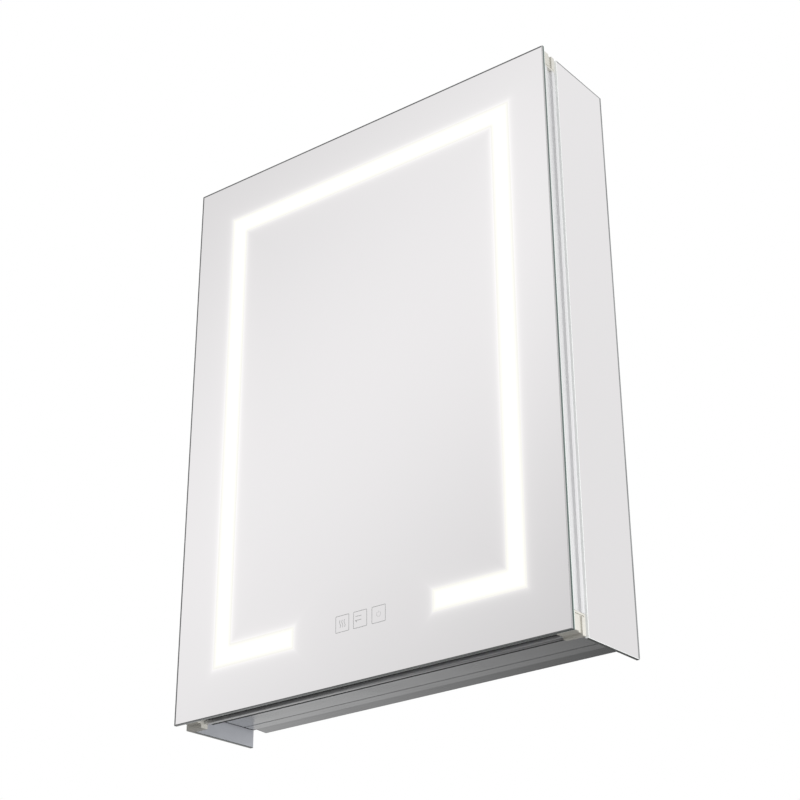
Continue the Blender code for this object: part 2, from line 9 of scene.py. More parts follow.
import bmesh
import bpy
import mathutils
import numpy as np
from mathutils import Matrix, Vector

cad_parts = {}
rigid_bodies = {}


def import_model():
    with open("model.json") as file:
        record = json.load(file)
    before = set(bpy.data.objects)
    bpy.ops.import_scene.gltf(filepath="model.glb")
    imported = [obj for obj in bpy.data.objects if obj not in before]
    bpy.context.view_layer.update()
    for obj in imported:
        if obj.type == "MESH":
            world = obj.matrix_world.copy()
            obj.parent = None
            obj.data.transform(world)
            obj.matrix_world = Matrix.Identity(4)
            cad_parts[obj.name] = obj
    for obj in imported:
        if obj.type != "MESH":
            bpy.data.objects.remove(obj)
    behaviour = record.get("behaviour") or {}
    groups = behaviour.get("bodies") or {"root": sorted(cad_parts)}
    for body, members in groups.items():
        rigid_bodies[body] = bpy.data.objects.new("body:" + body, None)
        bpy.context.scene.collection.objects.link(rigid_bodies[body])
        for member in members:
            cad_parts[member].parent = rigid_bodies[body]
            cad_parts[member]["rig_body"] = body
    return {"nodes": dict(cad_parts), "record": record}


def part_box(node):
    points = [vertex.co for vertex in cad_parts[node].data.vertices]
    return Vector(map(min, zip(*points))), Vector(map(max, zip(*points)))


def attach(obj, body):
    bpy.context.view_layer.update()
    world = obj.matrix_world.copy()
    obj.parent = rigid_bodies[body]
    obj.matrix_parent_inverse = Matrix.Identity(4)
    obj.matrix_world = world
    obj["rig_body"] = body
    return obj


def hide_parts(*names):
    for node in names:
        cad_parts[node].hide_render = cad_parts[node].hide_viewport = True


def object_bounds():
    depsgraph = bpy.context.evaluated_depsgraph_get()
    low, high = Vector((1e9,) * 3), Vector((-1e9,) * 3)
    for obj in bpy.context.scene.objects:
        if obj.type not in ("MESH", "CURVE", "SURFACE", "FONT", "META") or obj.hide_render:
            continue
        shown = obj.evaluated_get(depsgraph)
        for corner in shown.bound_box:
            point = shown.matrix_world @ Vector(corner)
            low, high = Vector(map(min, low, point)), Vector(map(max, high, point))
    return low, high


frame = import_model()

CAD_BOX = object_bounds()
MM = 0.001
DEG = math.pi / 180

# Studio: camera, side lamp, floor, and the brightness of the surroundings by direction
CAMERA_PLACE = (1.0768, -1.4416, -1.0699)
CAMERA_TURN = (117.434 * DEG, 1.836 * DEG, 35.205 * DEG)
CAMERA_LENS = 78.143
CAMERA_SHIFT = (-0.1273, -0.0819)
LAMP_PLACE = (1.7, 0.05, -0.85)
LAMP_AIM = (0.2, -0.1, -0.5)
LAMP_POWER = 14.0
LAMP_SIZE = 0.9
FLOOR_BELOW = 1.2
FLOOR_REACH = 9.0
SOFT_LIGHT_AXIS = (-0.415, 0.622, 0.663)
SOFT_LIGHT_OFFSET = 0.099
SOFT_LIGHT_SPREAD = 0.170
SOFT_LIGHT_GAIN = 0.317
FRONT_TONE = 0.631
REAR_TONE = 0.79
REAR_RISE = 0.19
LOW_LEFT_TONE = 0.66
LOW_RIGHT_TONE = 0.13
LOWEST_SHARE = 0.42
SIDE_TONE = (0.86, 0.86, 0.87)

# Glass. The dark grey margins and arrises round the silver and the near-black bands on the glass
# edges are a painted dark reflection of the glass edge; the door's margins are wide only at its
# left and top, the side panes' at the back and top.
ARRIS = 0.7 * MM
DOOR_MARGINS = {"left": 1.9 * MM, "right": 0.2 * MM, "low": 0.2 * MM, "high": 1.8 * MM}
SIDE_ARRIS = 0.4 * MM
SIDE_MARGINS = {"back": 2.8 * MM, "high": 1.5 * MM}
PLAIN_MARGIN = 0.1 * MM
# width of the near-black band painted on the front of the door glass's edge, a painted dark
# reflection
DARK_EDGE = 3.1 * MM

# Lit band, from the diffuser behind it, and the light it spills into the silver, painted there as a
# glow that fades away from the band
DIFFUSER_MARGIN = 3 * MM
BAND_WIDTH = 24 * MM
FOOT_END = 90 * MM
NEAR_GLOW = {"reach": 3 * MM, "strength": 0.16}
FAR_GLOW = {"reach": 15 * MM, "strength": 0.03}
BAND_FADE = 5.5 * MM

# Door bars, in mm: the bar's width and skin, its web, and the side bar's groove
BAR_WIDE = 22
BAR_SKIN = 2
REAR_FLANGE = 5
NOTCH_HIGH = 8.5
WEB = (14, 16)
GROOVE = (4.7, 13.7)
GROOVE_DEEP = 3
SIDE_BAR_WEB = 5
BEAD = (1.4, 1.8, 2.2)
BEAD_DEEP = 0.5
BAR_FILLET = 0.35 * MM
SIDE_BAR_FILLET = 0.25 * MM
SAW_CHAMFER = 0.15 * MM

# Seals and foam, in mm: outlines as (back from the bar, in from its outer edge). The dark seals are
# painted shade: dark strips put in the bar's channel and behind its rear flange, where there is
# shade; the black foam also darkens the gap behind the side panes as painted shade
SEAL_LIP = [(0.0, 0.3), (0.0, 4.0), (1.2, 4.0), (4.4, 2.4), (4.4, 0.9), (3.4, 0.1)]
SEAL_FILLET = 0.3 * MM
SEAL_SHORTER = 4 * MM
CORD_LOW = 4.0
CORD_HIGH = 13.8
CORD_CLEAR = 0.2
CORD_SLOPE = (1.2, 1.0)
FOAM_HIGH = 10 * MM
FOAM_CLEAR = 0.1 * MM
FOAM_INSET = 1 * MM
FOAM_FILLET = 0.6 * MM

# Hardware, in mm: (distance along, radius) stations
SCREW = [(0, 1.2), (0.4, 1.8), (5.5, 1.8), (5.5, 3.6), (6.2, 3.6), (6.8, 3.0), (7.1, 2.2),
         (7.1, 1.8), (7.1, 1.4), (7.1, 1.0), (7.1, 0.6), (7.1, 0.2)]
SHELF_PIN = [(0, 1.9), (0.4, 2.5), (2.6, 2.5), (2.6, 3.5), (3.1, 4.0), (6.0, 4.0), (6.3, 3.7),
             (6.6, 3.7), (6.9, 4.0), (10.2, 4.0), (11.2, 3.5), (11.6, 2.5), (11.6, 0.3)]
RECESS = {"depth": 1.0 * MM, "half_width": 0.55 * MM, "reach": 2.1 * MM,
          "from_station": 7.05 * MM}
TURNED_SEGMENTS = 32
BUMPER = [(0, 5), (0.8, 5), (1.5, 4.7), (2.1, 4.0), (2.5, 3.0), (2.75, 1.6), (2.8, 0.3)]

# Touch symbols, from the middle of the sensor board
SYMBOL_OFFSETS = (-23.7 * MM, -0.4 * MM, 23.5 * MM)
SYMBOL_RISE = -2.9 * MM
SYMBOL_SIDE = 17.2 * MM
STROKE = 0.7 * MM
FINE_STROKE = 0.3 * MM
STROKE_PROUD = 0.04 * MM
STROKE_DEEP = 0.3 * MM

# Finishing of edges and shading
SMOOTH_BELOW = 35 * DEG
WELD_REACH = 0.001 * MM
FLAT_BELOW = 1 * DEG
BEVEL_ABOVE = 40 * DEG


# ---------------------------------------------------------------- surfaces

def ends_at(lines, inset):
    """Grid lines whose two ends are drawn in by an inset."""
    moved = np.array(lines, float)
    moved[0] += inset
    moved[-1] -= inset
    return moved


def grid_quads(rows, columns, wrap=False):
    """Quads of a rows by columns grid counted row by row; wrap joins its last column to its
    first."""
    across = columns if wrap else columns - 1
    row, column = np.meshgrid(np.arange(rows - 1), np.arange(across), indexing="ij")
    after = (column + 1) % columns
    corners = [row * columns + column, row * columns + after,
               (row + 1) * columns + after, (row + 1) * columns + column]
    return np.stack(corners, -1).reshape(-1, 4)


def rim_of(rows, columns):
    """Point numbers round the border of a rows by columns grid, in order."""
    last = (rows - 1) * columns
    return np.concatenate([
        np.arange(columns - 1), np.arange(columns - 1, last + columns - 1, columns),
        np.arange(last + columns - 1, last, -1), np.arange(last, 0, -columns)])


def plate(lines_u, lines_v, edge):
    """A plate as points (u, v, depth), quads, and each quad's row.

    The front is the grid of lines_u by lines_v. Its border is carried through the
    (inset, depth) stations of edge, and the back is the same grid at the last station.
    Rows are 0 on the front, then 1, 2 and on along the rim, and -1 on the back.
    """
    rows, columns = len(lines_v), len(lines_u)
    layers = []
    for inset, depth in edge:
        u, v = np.meshgrid(ends_at(lines_u, inset), ends_at(lines_v, inset))
        layers.append(np.stack([u, v, np.full(u.shape, depth)], -1).reshape(-1, 3))
    rim = rim_of(rows, columns)
    middle = [layer[rim] for layer in layers[1:-1]]
    points = np.concatenate([layers[0], layers[-1], *middle])
    count = rows * columns
    rings = [2 * count + k * len(rim) + np.arange(len(rim)) for k in range(len(middle))]
    rings = [rim, *rings, count + rim]
    face = grid_quads(rows, columns)
    quads, row_of = [face], [np.zeros(len(face), int)]
    for k, (near, far) in enumerate(zip(rings[:-1], rings[1:])):
        quads.append(np.stack([np.roll(near, -1), near, far, np.roll(far, -1)], -1))
        row_of.append(np.full(len(rim), k + 1))
    quads.append(face[:, ::-1] + count)
    row_of.append(np.full(len(face), -1))
    return points, np.concatenate(quads), np.concatenate(row_of)


def rounded(outline, radius, steps=4):
    """The outline with each corner replaced by an arc.

    The arc touches both sides at radius / tan(half the corner's angle) from the corner, and
    its points turn evenly from one touch point to the other.
    """
    corner = np.array(outline, float)
    radius = np.broadcast_to(np.asarray(radius, float), len(corner))[:, None]
    back, ahead = np.roll(corner, 1, 0) - corner, np.roll(corner, -1, 0) - corner
    back_length = np.linalg.norm(back, axis=1, keepdims=True)
    ahead_length = np.linalg.norm(ahead, axis=1, keepdims=True)
    back, ahead = back / back_length, ahead / ahead_length
    half = 0.5 * np.arccos(np.clip((back * ahead).sum(1, keepdims=True), -1, 1))
    reach = np.minimum(radius / np.tan(half), 0.45 * np.minimum(back_length, ahead_length))
    middle = back + ahead
    middle = middle / np.linalg.norm(middle, axis=1, keepdims=True)
    centre = corner + middle * reach / np.cos(half)
    first, last = corner + back * reach - centre, corner + ahead * reach - centre
    turn = (math.pi - 2 * half)[:, None]
    share = np.linspace(0, 1, steps)[None, :, None]
    arc = np.sin((1 - share) * turn) * first[:, None] + np.sin(share * turn) * last[:, None]
    return (centre[:, None] + arc / np.sin(turn)).reshape(-1, 2)


def swept(sections):
    """A closed section of N points carried through the given positions, as points and faces.

    sections is an array (stations, N, 3). Neighbouring stations are joined by quads and the
    two end sections are closed by one face each.
    """
    stations, count = sections.shape[:2]
    quads = grid_quads(stations, count, wrap=True).tolist()
    ends = [list(range(count))[::-1], list(range((stations - 1) * count, stations * count))]
    return sections.reshape(-1, 3), quads + ends


def turned(profile, segments, swell=None):
    """A profile of (distance, radius) stations turned about the axis, as points and faces.

    Points are (distance, radius cos a, radius sin a); swell(distance, radius, a) may move
    the distance of each point.
    """
    distance, radius = np.array(profile, float).T
    angle = np.arange(segments) * 2 * math.pi / segments
    far, out = distance[:, None] + 0 * angle, radius[:, None] + 0 * angle
    if swell:
        far = far + swell(far, out, angle[None, :])
    rings = np.stack([far, out * np.cos(angle), out * np.sin(angle)], -1)
    return swept(rings)


def stroke_band(path, width, closed=False):
    """Left and right edges of a stroke that follows a flat path, mitred at its turns."""
    path = np.array(path, float)
    if closed:
        before, after = np.roll(path, 1, 0), np.roll(path, -1, 0)
    else:
        before = np.vstack([2 * path[0] - path[1], path[:-1]])
        after = np.vstack([path[1:], 2 * path[-1] - path[-2]])
    leg_in, leg_out = path - before, after - path
    leg_in /= np.linalg.norm(leg_in, axis=1, keepdims=True)
    leg_out /= np.linalg.norm(leg_out, axis=1, keepdims=True)
    across = leg_in + leg_out
    across /= np.linalg.norm(across, axis=1, keepdims=True)
    across = np.stack([-across[:, 1], across[:, 0]], -1)
    square = (across * np.stack([-leg_in[:, 1], leg_in[:, 0]], -1)).sum(1, keepdims=True)
    step = across * width / (2 * np.maximum(square, 0.3))
    return path + step, path - step


def ribbon(path, width, front, back, closed=False):
    """A flat path given a width and carried from front to back: points (u, v, depth) and faces."""
    left, right = stroke_band(path, width, closed)
    deep = [np.concatenate([edge, np.full((len(edge), 1), depth)], 1)
            for edge, depth in ((left, front), (right, front), (right, back), (left, back))]
    rings = np.stack(deep, 1)
    if not closed:
        return swept(rings)
    rings = np.concatenate([rings, rings[:1]])
    count = len(rings) - 1
    quads = grid_quads(count + 1, 4, wrap=True) % (count * 4)
    return rings[:-1].reshape(-1, 3), quads.tolist()


def gathered(parts):
    """Several (points, faces) joined into one."""
    points, faces, start = [], [], 0
    for some, its_faces in parts:
        points.append(np.asarray(some, float))
        faces += [[start + i for i in face] for face in its_faces]
        start += len(some)
    return np.concatenate(points), faces


# ---------------------------------------------------------------- pieces

def piece(name, shape, materials, body, stands_for=(), tags=None):
    """Put points and faces into a named mesh that rides a body and stands for CAD nodes."""
    points, faces = shape
    mesh = bpy.data.meshes.new(name)
    mesh.from_pydata(np.asarray(points).tolist(), [], [list(map(int, face)) for face in faces])
    for material in materials:
        mesh.materials.append(material)
    if tags is not None:
        mesh.polygons.foreach_set("material_index", np.asarray(tags, np.int32))
    work = bmesh.new()
    work.from_mesh(mesh)
    bmesh.ops.recalc_face_normals(work, faces=work.faces)
    work.to_mesh(mesh)
    work.free()
    mesh.shade_smooth()
    mesh.set_sharp_from_angle(angle=SMOOTH_BELOW)
    obj = bpy.data.objects.new(name, mesh)
    bpy.context.scene.collection.objects.link(obj)
    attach(obj, body)
    if stands_for:
        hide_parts(*stands_for)
    return obj


def body_of(node):
    return frame["nodes"][node]["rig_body"]


def slot_of(node):
    return next(part["material_slot"] for part in frame["record"]["subparts"]
                if part["node"] == node)


# ---------------------------------------------------------------- node writing

class Nodes:
    """Adds nodes to a tree; each method returns an output socket."""

    def __init__(self, tree):
        self.tree = tree

    def add(self, kind, **settings):
        node = self.tree.nodes.new(kind)
        for name, value in settings.items():
            setattr(node, name, value)
        return node

    def feed(self, socket, value):
        if isinstance(value, bpy.types.NodeSocket):
            self.tree.links.new(value, socket)
        else:
            socket.default_value = value

    def math(self, operation, *values):
        node = self.add("ShaderNodeMath", operation=operation)
        for socket, value in zip(node.inputs, values):
            self.feed(socket, value)
        return node.outputs[0]

    def vector_math(self, operation, *values, output=0):
        node = self.add("ShaderNodeVectorMath", operation=operation)
        for socket, value in zip(node.inputs, values):
            self.feed(socket, value)
        return node.outputs[output]

    def split(self, vector):
        node = self.add("ShaderNodeSeparateXYZ")
        self.feed(node.inputs[0], vector)
        return node.outputs[0], node.outputs[1], node.outputs[2]

    def span(self, value, low, high, start=0.0, end=1.0, kind="SMOOTHSTEP"):
        """The value's place between low and high, eased, as a number from start to end."""
        node = self.add("ShaderNodeMapRange", interpolation_type=kind)
        for socket, given in zip(node.inputs, (value, low, high, start, end)):
            self.feed(socket, given)
        return node.outputs[0]

    def blend(self, share, first, second):
        """A colour between two colours."""
        node = self.add("ShaderNodeMix", data_type="RGBA")
        for index, given in ((0, share), (6, first), (7, second)):
            self.feed(node.inputs[index], given)
        return node.outputs[2]

    def noise(self, vector, scale, detail=2.0, roughness=0.5):
        node = self.add("ShaderNodeTexNoise")
        for name, given in (("Vector", vector), ("Scale", scale), ("Detail", detail),
                            ("Roughness", roughness)):
            self.feed(node.inputs[name], given)
        return node.outputs["Fac"]

    def cells(self, vector, scale, output="Distance"):
        node = self.add("ShaderNodeTexVoronoi")
        self.feed(node.inputs["Vector"], vector)
        self.feed(node.inputs["Scale"], scale)
        return node.outputs[output]

    def stretched(self, vector, scale):
        node = self.add("ShaderNodeMapping")
        self.feed(node.inputs["Vector"], vector)
        self.feed(node.inputs["Scale"], scale)
        return node.outputs[0]

    def bump(self, height, strength, distance):
        node = self.add("ShaderNodeBump")
        for name, given in (("Height", height), ("Strength", strength), ("Distance", distance)):
            self.feed(node.inputs[name], given)
        return node.outputs[0]

    def place(self):
        """The piece's own coordinates, which are metres in the frame."""
        return self.add("ShaderNodeTexCoord").outputs["Object"]

    def effect(self, group, output, **inputs):
        """The named output, or outputs, of a node group placed with its own inputs."""
        node = self.add("ShaderNodeGroup", node_tree=group)
        for name, value in inputs.items():
            self.feed(node.inputs[name.replace("_", " ")], value)
        if isinstance(output, str):
            return node.outputs[output]
        return [node.outputs[title] for title in output]


def group(name, inputs, outputs, write):
    """A shader node group. write(nodes, its input sockets by name) returns its outputs in order."""
    tree = bpy.data.node_groups.new(name, "ShaderNodeTree")
    for title, (kind, value) in inputs.items():
        socket = tree.interface.new_socket(title, in_out="INPUT", socket_type=kind)
        if value is not None:
            socket.default_value = value
    for title, kind in outputs.items():
        tree.interface.new_socket(title, in_out="OUTPUT", socket_type=kind)
    nodes = Nodes(tree)
    source = nodes.add("NodeGroupInput")
    target = nodes.add("NodeGroupOutput")
    results = write(nodes, {title: source.outputs[title] for title in inputs})
    for title, result in zip(outputs, results):
        tree.links.new(result, target.inputs[title])
    return tree


NUMBER, VECTOR = "NodeSocketFloat", "NodeSocketVector"


def box_distance(nodes, x, z, middle, half):
    """Distance in the XZ plane outside an upright rectangle, negative inside it."""
    across = nodes.math("SUBTRACT", nodes.math("ABSOLUTE", nodes.math("SUBTRACT", x, middle[0])),
                        half[0])
    up = nodes.math("SUBTRACT", nodes.math("ABSOLUTE", nodes.math("SUBTRACT", z, middle[1])),
                    half[1])
    outside = nodes.math("SQRT", nodes.math(
        "ADD", nodes.math("POWER", nodes.math("MAXIMUM", across, 0.0), 2.0),
        nodes.math("POWER", nodes.math("MAXIMUM", up, 0.0), 2.0)))
    inside = nodes.math("MINIMUM", nodes.math("MAXIMUM", across, up), 0.0)
    return nodes.math("ADD", outside, inside)


def band_limits():
    """The lit band's middle, outer half width, lower and upper edge, from its diffuser."""
    low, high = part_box("light_diffuser")
    half = (high.x - low.x) / 2 - DIFFUSER_MARGIN
    return (low.x + high.x) / 2, half, low.z + DIFFUSER_MARGIN, high.z - DIFFUSER_MARGIN


def write_band_distance(nodes, given):
    """Distance to the band: its outer rectangle less the inner one and the gap between feet."""
    middle, half, low, high = band_limits()
    x, _, z = nodes.split(given["Position"])
    outer = box_distance(nodes, x, z, (middle, (low + high) / 2), (half, (high - low) / 2))
    inner_low, inner_high = low + BAND_WIDTH, high - BAND_WIDTH
    inner = box_distance(nodes, x, z, (middle, (inner_low + inner_high) / 2),
                         (half - BAND_WIDTH, (inner_high - inner_low) / 2))
    gap = box_distance(nodes, x, z, (middle, low), (FOOT_END, 4 * BAND_WIDTH))
    hollow = nodes.math("MINIMUM", inner, gap)
    return [nodes.math("MAXIMUM", outer, nodes.math("MULTIPLY", hollow, -1.0))]


def write_handling(nodes, given):
    """Faint cloudy smears and sparse dust specks on a polished face."""
    place, scale = given["Position"], given["Scale"]
    cloud = nodes.noise(place, nodes.math("MULTIPLY", scale, 9.0), 4.0, 0.6)
    smear = nodes.span(cloud, 0.45, 0.75)
    seed = nodes.cells(place, nodes.math("MULTIPLY", scale, 260.0))
    dust = nodes.span(seed, 0.05, 0.09, 1.0, 0.0)
    sparse = nodes.span(nodes.noise(place, nodes.math("MULTIPLY", scale, 60.0)), 0.58, 0.66)
    return [smear, nodes.math("MULTIPLY", dust, sparse)]


def write_drawn_lines(nodes, given):
    """Fine lines left by the die along an extrusion: noise stretched by the Stretch vector."""
    stretched = nodes.vector_math("MULTIPLY", given["Position"], given["Stretch"])
    fine = nodes.noise(stretched, 1.0, 3.0, 0.65)
    broad = nodes.noise(stretched, 0.22, 2.0, 0.5)
    return [fine, nodes.math("ADD", nodes.math("MULTIPLY", fine, 0.4),
                             nodes.math("MULTIPLY", broad, 0.6))]


def write_grain(nodes, given):
    """Even fine grain, with slow patches over it."""
    fine = nodes.noise(given["Position"], given["Scale"], 3.0, 0.55)
    patch = nodes.noise(given["Position"], nodes.math("MULTIPLY", given["Scale"], 0.04), 2.0)
    return [fine, patch]


EFFECTS = {
    "band": group("lit band distance", {"Position": (VECTOR, None)}, {"Distance": NUMBER},
                  write_band_distance),
    "handling": group("handling marks", {"Position": (VECTOR, None), "Scale": (NUMBER, 1.0)},
                      {"Smear": NUMBER, "Dust": NUMBER}, write_handling),
    "drawn": group("drawn lines", {"Position": (VECTOR, None), "Stretch": (VECTOR, None)},
                   {"Height": NUMBER, "Tone": NUMBER}, write_drawn_lines),
    "grain": group("fine grain", {"Position": (VECTOR, None), "Scale": (NUMBER, 900.0)},
                   {"Height": NUMBER, "Patch": NUMBER}, write_grain),
}


def material(name, write, **plain):
    """A Principled material. plain sets sockets to one value; write(nodes, feed) adds patterns."""
    made = bpy.data.materials.new(name)
    made.use_nodes = True
    shader = made.node_tree.nodes["Principled BSDF"]
    nodes = Nodes(made.node_tree)
    for title, value in plain.items():
        shader.inputs[title.replace("_", " ")].default_value = value
    write(nodes, lambda title, value: nodes.feed(shader.inputs[title], value))
    return made


def tone(*rgb):
    return (*rgb, 1.0)


def silvered(name, glow):
    """Silver seen through clear glass, a little warm; on a lit door, emission painted into the
    silver by its band is a painted glow for the band's spilled light.
    """
    def write(nodes, feed):
        place = nodes.place()
        smear, dust = nodes.effect(EFFECTS["handling"], ("Smear", "Dust"), Position=place)
        base = nodes.blend(nodes.math("MULTIPLY", smear, 0.25), tone(0.888, 0.872, 0.880),
                           tone(0.872, 0.868, 0.868))
        speck = nodes.math("MULTIPLY", dust, 0.2)
        feed("Base Color", nodes.blend(speck, base, tone(0.6, 0.6, 0.58)))
        feed("Roughness", nodes.math("ADD", nodes.math("MULTIPLY", smear, 0.012), 0.012))
        # painted glow: emission in the silver that fades with distance from the band
        if glow:
            away = nodes.effect(EFFECTS["band"], "Distance", Position=place)
            shares = [nodes.math("MULTIPLY", nodes.math(
                "EXPONENT", nodes.math("DIVIDE", away, -spill["reach"])), spill["strength"])
                for spill in (NEAR_GLOW, FAR_GLOW)]
            light = nodes.math("ADD", *shares)
            feed("Emission Color", nodes.blend(light, tone(0, 0, 0), tone(1.0, 0.99, 0.94)))
    extra = {"Emission_Strength": 1.0} if glow else {}
    return material(name, write, Metallic=1.0, **extra)


def frosted_band():
    """Sand-blasted glass lit from behind: warm white, a touch brighter along its middle."""
    def write(nodes, feed):
        place = nodes.place()
        away = nodes.effect(EFFECTS["band"], "Distance", Position=place)
        middle = nodes.span(away, -BAND_FADE, 0.0, 1.0, 0.0)
        fine = nodes.effect(EFFECTS["grain"], "Height", Position=place, Scale=2500.0)
        feed("Emission Color", nodes.blend(middle, tone(0.83, 0.82, 0.775), tone(1.0, 0.995, 0.91)))
        feed("Base Color", nodes.blend(fine, tone(0.13, 0.13, 0.13), tone(0.17, 0.17, 0.17)))
        feed("Roughness", nodes.math("ADD", nodes.math("MULTIPLY", fine, 0.15), 0.45))
    return material("lit frosted glass", write, Emission_Strength=1.0)


def glass_edge(name, deep, pale, glow):
    """Polished float-glass edge: its green varies at random between a deep and a pale tone, and its
    emission is a painted glow that makes the edge look lit.
    """
    def write(nodes, feed):
        place = nodes.place()
        wave = nodes.noise(nodes.stretched(place, (9.0, 9.0, 5.0)), 1.0, 2.0)
        share = nodes.span(wave, 0.35, 0.65)
        feed("Base Color", nodes.blend(share, tone(*deep), tone(*pale)))
        feed("Emission Color", nodes.blend(share, tone(*deep), tone(*pale)))
        fine = nodes.effect(EFFECTS["grain"], "Height", Position=place, Scale=1600.0)
        feed("Roughness", nodes.math("ADD", nodes.math("MULTIPLY", fine, 0.1), 0.12))
    return material(name, write, IOR=1.52, Coat_Weight=0.5, Emission_Strength=glow)


def ground_arris(name, dark, light):
    """The narrow ground slope and margin round a mirror in dark grey with fine grain, a painted
    dark reflection of the glass edge.
    """
    def write(nodes, feed):
        place = nodes.place()
        fine = nodes.effect(EFFECTS["grain"], "Height", Position=place, Scale=1200.0)
        slow = nodes.noise(place, 14.0, 2.0)
        share = nodes.math("ADD", nodes.math("MULTIPLY", fine, 0.4),
                           nodes.math("MULTIPLY", slow, 0.6))
        feed("Base Color", nodes.blend(nodes.span(share, 0.35, 0.65), tone(*dark), tone(*light)))
        feed("Roughness", nodes.math("ADD", nodes.math("MULTIPLY", fine, 0.2), 0.3))
        feed("Normal", nodes.bump(fine, 0.3, 0.05 * MM))
    return material(name, write)


def mirror_paint():
    """Blue-grey protective paint on the back of silvered glass, with a roller's texture."""
    def write(nodes, feed):
        place = nodes.place()
        height, patch = nodes.effect(EFFECTS["grain"], ("Height", "Patch"), Position=place,
                                     Scale=700.0)
        feed("Base Color", nodes.blend(patch, tone(0.40, 0.415, 0.445), tone(0.46, 0.47, 0.50)))
        feed("Roughness", nodes.span(height, 0.3, 0.7, 0.38, 0.52))
        feed("Normal", nodes.bump(height, 0.25, 0.08 * MM))
    return material("mirror back paint", write)


def drawn_aluminium(name, along, base=(0.77, 0.775, 0.78), rough=0.26, metal=0.8):
    """Satin anodised aluminium with the die's fine lines along one axis."""
    stretch = [1100.0, 1100.0, 1100.0]
    stretch["XYZ".index(along)] = 3.0

    def write(nodes, feed):
        place = nodes.place()
        height, shade = nodes.effect(EFFECTS["drawn"], ("Height", "Tone"), Position=place,
                                     Stretch=stretch)
        smear = nodes.effect(EFFECTS["handling"], "Smear", Position=place, Scale=1.4)
        dark = tuple(0.9 * part for part in base)
        feed("Base Color", nodes.blend(shade, tone(*dark), tone(*base)))
        feed("Roughness", nodes.math("ADD", nodes.span(shade, 0.3, 0.7, rough, rough + 0.06),
                                     nodes.math("MULTIPLY", smear, 0.04)))
        feed("Normal", nodes.bump(height, 0.08, 0.03 * MM))
    return material(name, write, Metallic=metal)


def grained(name, dark, light, scale, rough, bump, **plain):
    """A moulded, coated or plated finish: fine grain in tone, gloss and height."""
    def write(nodes, feed):
        place = nodes.place()
        height, patch = nodes.effect(EFFECTS["grain"], ("Height", "Patch"), Position=place,
                                     Scale=scale)
        share = nodes.math("ADD", nodes.math("MULTIPLY", height, 0.5),
                           nodes.math("MULTIPLY", patch, 0.5))
        feed("Base Color", nodes.blend(nodes.span(share, 0.3, 0.7), tone(*dark), tone(*light)))
        feed("Roughness", nodes.span(height, 0.3, 0.7, *rough))
        feed("Normal", nodes.bump(height, bump[0], bump[1]))
    return material(name, write, **plain)


